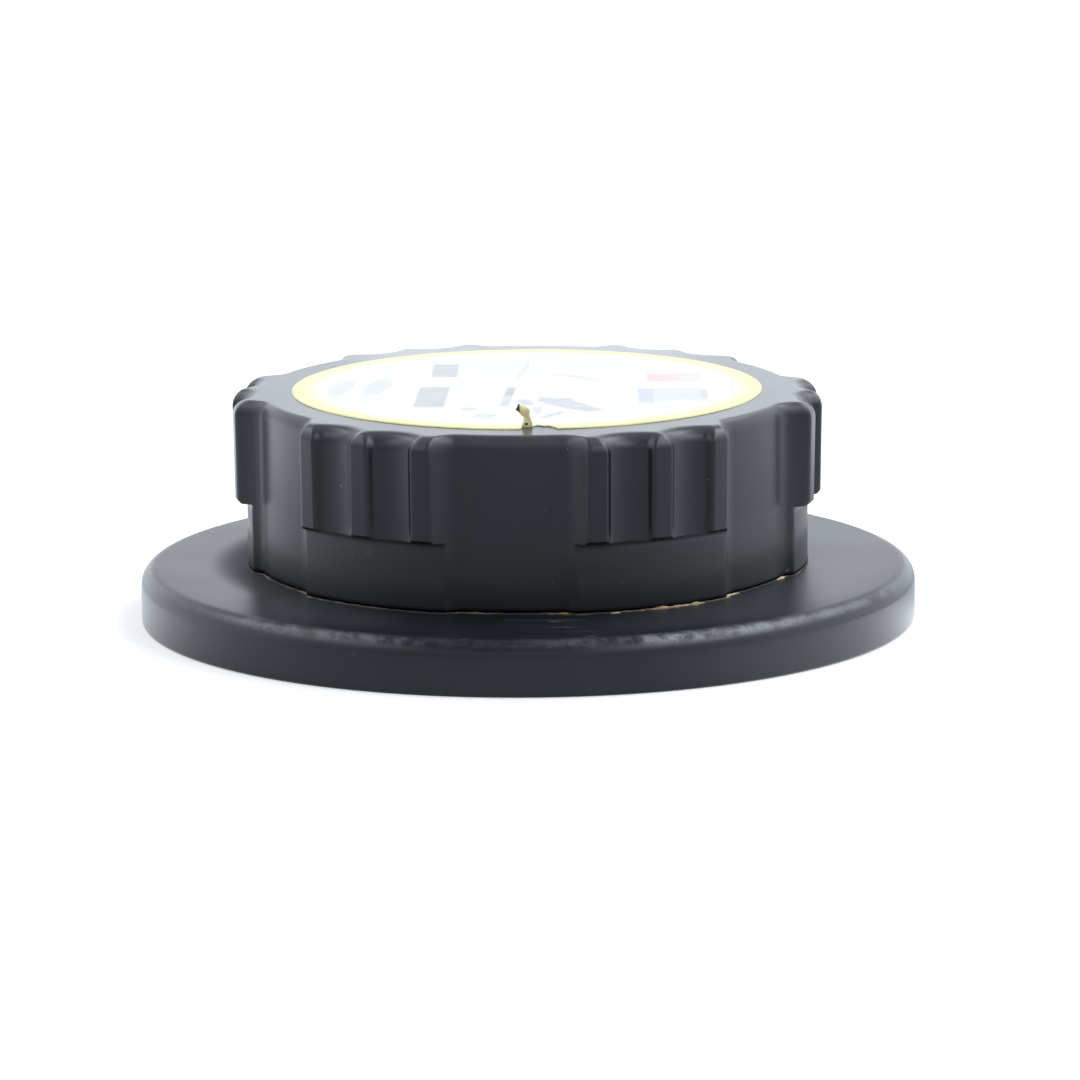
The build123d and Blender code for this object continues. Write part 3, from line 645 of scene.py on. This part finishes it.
# Edge radius of the film: the full circle, less a round bite whose rim wanders, all with a faint wander.
def filmEdge(angles):
    away = np.radians((angles - film["biteAngle"] + 180) % 360 - 180)
    ragged = film["biteRadius"] * (1 + 0.10 * waves(angles * 24, 5))
    reach = ragged ** 2 - (film["biteCentre"] * np.sin(away)) ** 2
    bite = film["biteCentre"] * np.cos(away) - np.sqrt(np.clip(reach, 0, None))
    whole = film["radius"] - 0.02 + 0.02 * waves(angles, 8, 9, 5)
    return np.where((reach > 0) & (np.abs(away) < 0.3), np.minimum(whole, bite), whole)


# Rings from the middle of the top over the edge to the middle underneath, the edge's radius times a share.
# The top lifts near the bite by a bell curve of the angle, with a faint random wander.
def makeFilm():
    coarse = np.arange(-80.0, 262.0, 1.0)
    fine = np.arange(-98.0, -80.0, 0.18)  # across the bite
    angles = np.concatenate([fine, coarse])
    edge = filmEdge(angles)
    near = np.exp(-((angles - film["biteAngle"]) / film["liftWidth"]) ** 2)
    wander = film["wander"] * waves(angles * 3, 3)
    rows = []
    for share in (0.0, 0.25, 0.5, 0.75, 0.9, 0.96, 0.985, 0.992):
        lift = film["lift"] * near * max(share - 0.9, 0) * 10 + wander * share
        rows.append((edge * share, film["foot"] + film["thick"] + lift))
    lift = film["lift"] * near + wander
    rows.append((edge * 0.997, film["foot"] + film["thick"] - 0.04 + lift))
    rows.append((edge, film["foot"] + 0.03 + lift))
    rows.append((edge * 0.999, film["foot"] + lift * 0.9))
    rows.append((edge * 0.9, film["foot"] + 0 * angles))
    rows.append((edge * 0, film["foot"] + 0 * angles))
    radius, height = (np.array([entry[part] + 0 * angles for entry in rows]) for part in (0, 1))
    return ringMesh("labelFilm", around(radius, height, angles), False)


dress(makeFilm(), "film", "grip", "label_film", "label")

sliver = {  # line as x, distance to the front and height, and the width at each of its points
    "line": [(0.06, 22.95, 23.1), (0.12, 22.99, 23.7), (0.06, 23.06, 24.3),
             (-0.16, 23.14, 24.78), (-0.55, 23.2, 25.1), (-0.90, 23.24, 25.27)],
    "width": [1.02, 0.90, 0.66, 0.98, 0.80, 0.60],
    "thick": 0.13, "curl": 0.16,
}


# A flat band carried along a smoothed line: across the band a slim rounded loop, its width read along the
# line and wandering a little, its edges curled back by the square of the distance from the middle.
def makeSliver():
    along = np.linspace(0, 1, 26)
    knots = np.linspace(0, 1, len(sliver["line"]))
    line = np.array(sliver["line"])
    centre = np.stack([np.interp(along, knots, line[:, axis]) for axis in range(3)], axis=-1)
    centre[:, 1] *= -1
    kernel = np.array([0.25, 0.5, 0.25])
    for axis in range(3):
        for _ in range(3):
            centre[1:-1, axis] = np.convolve(centre[:, axis], kernel, "valid")
    width = np.interp(along, knots, sliver["width"]) * (1 + 0.12 * waves(along * 300, 12))
    step = np.gradient(centre, axis=0)
    step /= np.linalg.norm(step, axis=1, keepdims=True)
    thickness = np.array([0.0, -1.0, 0.0])
    across = np.cross(step, thickness)
    across /= np.linalg.norm(across, axis=1, keepdims=True)
    turn = np.linspace(0, 2 * pi, 16, endpoint=False)
    flat, deep = np.sign(np.cos(turn)) * np.abs(np.cos(turn)) ** 0.5, np.sin(turn)
    curl = sliver["curl"] * flat ** 2
    grid = (centre[:, None] + across[:, None] * (flat[None, :, None] * width[:, None, None] / 2)
            + thickness * (deep * sliver["thick"] / 2 - curl)[None, :, None])
    caps = [centre[:1, None] + 0 * grid[:1], grid, centre[-1:, None] + 0 * grid[:1]]
    return ringMesh("labelSliver", np.concatenate(caps)[:, ::-1], False, 60.0)


dress(makeSliver(), "sliver", "grip", "label_film")
print("label made")


# Dried crust along the seam
crustRuns = [  # first and last angle from the front, width and height in mm, seed
    (-72.5, -68.5, 0.42, 0.26, 1), (-68.0, -38.0, 0.20, 0.10, 2), (-55.0, -50.5, 0.42, 0.24, 3),
    (-15.0, -12.5, 0.30, 0.16, 4), (3.2, 8.9, 0.28, 0.17, 5), (15.0, 19.6, 0.24, 0.12, 6),
    (22.4, 34.2, 0.40, 0.28, 7), (33.0, 37.8, 0.45, 0.26, 8), (43.8, 49.6, 0.36, 0.22, 9),
    (64.0, 68.3, 0.40, 0.24, 10),
]
grimeRun = (-180.0, 180.0, 0.17, 0.20, 11, 0.45)  # the same, and how uneven
seam = {"middle": 5.66, "foot": 5.60, "soften": 0.4, "roughness": 0.12}


# A lump that hugs the seam: a half oval across, its size swelling and fading along the run by a root
# curve and a random line, with its middle on the neck's outline just above the flange.
def makeCrust(name, start, end, width, height, seed, uneven=1.0):
    angles = np.linspace(start, end, int((end - start) * 8) + 6)
    share = np.linspace(-1, 1, len(angles))
    swell = np.sqrt(np.clip(1 - share ** 2, 0, 1)) * (0.75 + 0.35 * uneven * waves(angles * 12, seed, 7, 5))
    swell = np.clip(swell, 0, None)
    wall = softOutline(angles - 90 - grip["turn"], grip["lobeRadius"], False, seam["soften"])
    turn = np.linspace(0, 2 * pi, 12, endpoint=False)
    rough = 1 + seam["roughness"] * uneven * np.sin(5 * turn[None, :] + angles[:, None] * 3)
    radius = wall[:, None] - 0.05 + swell[:, None] * width * 0.5 * (1 + np.cos(turn)[None, :] * rough)
    tall = seam["middle"] + swell[:, None] * height * (0.35 + 0.65 * np.sin(turn)[None, :] * rough)
    tall = np.maximum(tall, seam["foot"])
    way = np.radians(angles - 90)[:, None]
    grid = np.stack([radius * np.cos(way), radius * np.sin(way), tall], axis=-1)
    return ringMesh(name, grid[:, ::-1], False, 80.0)


dress(joined("seamCrust", [makeCrust("crustRun", *run) for run in crustRuns]), "crust", "grip", "black_plastic")
dress(makeCrust("seamGrime", *grimeRun), "grime", "grip", "black_plastic")
print("crust made")


# Springs, and smooth copies of the other inner pieces; the springs' sizes are in mm
pressureCoil = {"radius": 8.8, "wire": 1.4, "turns": 4.5, "foot": 7.1, "length": 9.8}
vacuumCoil = {"radius": 2.4, "wire": 0.45, "turns": 5.0, "foot": 7.3, "length": 3.4}


# A round section carried up a helix: middle of the wire at a steady radius, rising evenly with the turn.
def makeSpring(name, coil, bodyName, node):
    radius, wire = coil["radius"], coil["wire"]
    along = np.linspace(0, 1, int(coil["turns"] * 48))
    turn = 2 * pi * coil["turns"] * along
    height = coil["foot"] + wire / 2 + (coil["length"] - wire) * along
    centre = np.stack([radius * np.cos(turn), radius * np.sin(turn), height], -1)
    out = np.stack([np.cos(turn), np.sin(turn), 0 * turn], axis=-1)
    step = np.gradient(centre, axis=0)
    step /= np.linalg.norm(step, axis=1, keepdims=True)
    up = np.cross(out, step)
    ring = np.linspace(0, 2 * pi, 14, endpoint=False)
    across, over = np.cos(ring)[None, :, None], np.sin(ring)[None, :, None]
    grid = centre[:, None] + wire / 2 * (out[:, None] * across + up[:, None] * over)
    caps = [centre[:1, None] + 0 * grid[:1], grid, centre[-1:, None] + 0 * grid[:1]]
    made = ringMesh(name, np.concatenate(caps), False, 60.0)
    return dress(made, "steel", bodyName, "spring_steel", node)


pressureSpring = makeSpring("pressureCoil", pressureCoil, "cap_body", "pressure_spring")
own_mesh(pressureSpring)
vacuumSpring = makeSpring("vacuumCoil", vacuumCoil, "pressure_valve", "vacuum_spring")
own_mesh(vacuumSpring)

innerPieces = {  # node: finish, body, slot
    "valve_housing": ("grey", "cap_body", "grey_plastic"),
    "ratchet_ring": ("pale", "cap_body", "pale_plastic"),
    "upper_neck_seal": ("rubber", "cap_body", "rubber"),
    "lower_neck_seal": ("rubber", "cap_body", "rubber"),
    "roof_seal": ("rubber", "cap_body", "rubber"),
    "housing_ring": ("steel", "cap_body", "spring_steel"),
    "spring_cover": ("grey", "cap_body", "grey_plastic"),
    "cover_ring": ("steel", "cap_body", "spring_steel"),
    "spring_washer": ("steel", "pressure_valve", "spring_steel"),
    "pressure_piston": ("pale", "pressure_valve", "pale_plastic"),
    "pressure_gasket": ("rubber", "pressure_valve", "rubber"),
    "vacuum_valve": ("brass", "vacuum_poppet", "brass"),
    "vacuum_clip": ("steel", "vacuum_poppet", "spring_steel"),
}
for node, (finish, bodyName, slot) in innerPieces.items():
    merged = bmesh.new()
    merged.from_mesh(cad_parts[node].data)
    bmesh.ops.remove_doubles(merged, verts=merged.verts, dist=1e-7)
    data = bpy.data.meshes.new(node + "_smooth")
    merged.to_mesh(data)
    merged.free()
    data.shade_smooth()
    data.set_sharp_from_angle(angle=radians(25))
    piece = bpy.data.objects.new(node + "_smooth", data)
    bpy.context.scene.collection.objects.link(piece)
    dress(piece, finish, bodyName, slot, node)
print("inner pieces made")


# Camera, floor and lights
view = {  # places in mm, roll in degrees, the photo's width and the focal length in its pixels
    "place": (1.228, -594.79, 125.45), "aim": (1.228, 0.0, 7.574), "roll": 0.422,
    "photoWidth": 1080, "focal": 6009.2, "sensor": 36.0,
}
floorLook = {  # colours and light of the floor as the camera and as the cap see it
    "seen": (0.80, 0.80, 0.80), "seenGlow": 0.45, "unseen": (0.30, 0.31, 0.33), "tint": (0.90, 0.95, 1.0, 1.0),
    "base": 0.42, "span": 1.08, "ring": 0.62,
}
worldLook = {"tint": (0.90, 0.95, 1.03), "base": 0.50, "back": 1.00, "overhead": 0.80, "boxes": 2.2}
lamps = {  # place in m, size in m, power in W
    "overLeft": ((-0.48, 0.32, 0.74), (0.35, 0.4), 0.6),
    "overRight": ((0.47, 0.22, 0.76), (0.35, 0.4), 0.9),
}


def makeCamera():
    data = bpy.data.cameras.new("camera")
    data.lens, data.sensor_width = view["focal"] / view["photoWidth"] * view["sensor"], view["sensor"]
    data.clip_start, data.clip_end = 0.01, 20.0
    made = bpy.data.objects.new("camera", data)
    place, aim = Vector(view["place"]) * mm, Vector(view["aim"]) * mm
    made.matrix_world = (Matrix.Translation(place) @ (aim - place).to_track_quat("-Z", "Y").to_matrix().to_4x4()
                         @ Matrix.Rotation(radians(-view["roll"]), 4, "Z"))
    bpy.context.scene.collection.objects.link(made)
    bpy.context.scene.camera = made


# A flat disc of rings just under the cap. The camera sees it plain and pale. The cap's black walls mirror a
# pattern of light on it instead: brighter to the back and at the right, with a darker ring close to the cap.
def makeFloor():
    columns = 96
    ring = np.linspace(0, 2 * pi, columns, endpoint=False)
    reach = np.array([0.0, 60.0, 200.0, 1200.0, 4000.0])[:, None]
    points = np.stack([reach * np.cos(ring), reach * np.sin(ring), 0 * reach * ring - 0.02], axis=-1)
    index = np.arange(points.shape[0] * columns).reshape(-1, columns)
    here, after = index[:-1], index[1:]
    quads = np.stack([here, after, np.roll(after, -1, 1), np.roll(here, -1, 1)], -1).reshape(-1, 4)
    floor = smoothMesh("floor", points * mm, quads.tolist())
    made, start, shader = material("pale_floor", 0.9)
    shader.inputs["Specular IOR Level"].default_value = 0.0
    _, (x, y, _) = coordinates(start)
    seen = start.node("ShaderNodeLightPath", output="Is Camera Ray")
    plain = Link(made.node_tree, shader.outputs[0])
    away = (x * x + y * y) ** 0.5
    side, deep = x / away, y / away
    bright = deep.rise(-0.95, 0.15)
    bright = bright + 0.72 * side.rise(0.25, 0.85) * deep.rise(0.2, -0.15) * away.rise(95.0, 60.0)  # near, at the right
    bright = bright - 0.50 * side.rise(0.3, 0.7) * deep.rise(-0.1, 0.25)  # behind, at the right
    bright = bright + 0.24 * deep.rise(-0.05, 0.25) * away.rise(72.0, 100.0)  # far behind, seen in the crown
    ringed = 1.0 - floorLook["ring"] * away.rise(56.0, 66.0) * away.rise(112.0, 90.0)  # seen in the neck
    tone = seen.blend(floorLook["unseen"], floorLook["seen"])
    strength = (floorLook["base"] + floorLook["span"] * bright) * ringed
    lift = start.node("ShaderNodeEmission", None, {"Color": floorLook["tint"], "Strength": strength})
    feed(start, shader, Base_Color=tone)
    glow = start.node("ShaderNodeEmission", None, {"Color": (1.0, 1.0, 1.0, 1.0), "Strength": floorLook["seenGlow"]})
    both = start.node("ShaderNodeAddShader", None, {0: plain, 1: glow})
    unseen = start.node("ShaderNodeAddShader", None, {0: plain, 1: lift})
    mixed = start.node("ShaderNodeMixShader", None, {0: seen, 1: unseen, 2: both})
    output = made.node_tree.nodes["Material Output"]
    made.node_tree.links.new(mixed.socket, output.inputs["Surface"])
    floor.data.materials.append(made)


def makeLamp(name, place, size, power):  # a soft panel that points at the cap's foot
    data = bpy.data.lights.new(name, "AREA")
    data.shape, data.size, data.size_y, data.energy = "RECTANGLE", size[0], size[1], power
    made = bpy.data.objects.new(name, data)
    where = Vector(place)
    made.matrix_world = Matrix.Translation(where) @ (-where).to_track_quat("-Z", "Y").to_matrix().to_4x4()
    bpy.context.scene.collection.objects.link(made)


# The studio round the cap, as a level of light by direction: brighter behind, darker overhead, with two tall
# softboxes. The camera sees plain white.
def makeWorld():
    look = worldLook
    world = bpy.data.worlds.new("studio")
    world.use_nodes = True
    bpy.context.scene.world = world
    start = Link(world.node_tree)
    way = start.node("ShaderNodeTexCoord", output="Generated")
    across, back, up = (start.node("ShaderNodeSeparateXYZ", None, {"Vector": way}, output=axis) for axis in "XYZ")
    level = look["base"] + look["back"] * back.rise(-0.90, 0.35) + 0.10 * across
    level = level - 0.25 * across.rise(0.0, 0.6) * back.rise(0.3, 0.9)
    level = level * (1.0 - look["overhead"] * up.rise(0.30, 0.75))
    level = level + 0.25 * back.rise(0.2, -0.3) * up.rise(0.15, 0.35) * up.rise(0.80, 0.60)
    boxes = 1.30 * across.rise(0.20, 0.60) + 0.80 * across.rise(-0.35, -0.70)  # right and left
    level = level + look["boxes"] * boxes * up.rise(0.40, 0.66) * up.rise(0.95, 0.80)
    level = level + 0.30 * back.rise(0.6, 0.95) * up.rise(0.45, 0.25)
    seen = start.node("ShaderNodeLightPath", output="Is Camera Ray")
    strength = level * (1.0 - seen) + seen
    background = world.node_tree.nodes["Background"]
    world.node_tree.links.new(strength.socket, background.inputs["Strength"])
    tint = seen.blend(look["tint"], (1.0, 1.0, 1.0))
    world.node_tree.links.new(tint.socket, background.inputs["Color"])


makeCamera()
makeFloor()
makeWorld()
for name, lamp in lamps.items():
    makeLamp(name, *lamp)
bpy.context.scene.view_settings.view_transform = "Standard"
print("camera, floor and lights made")
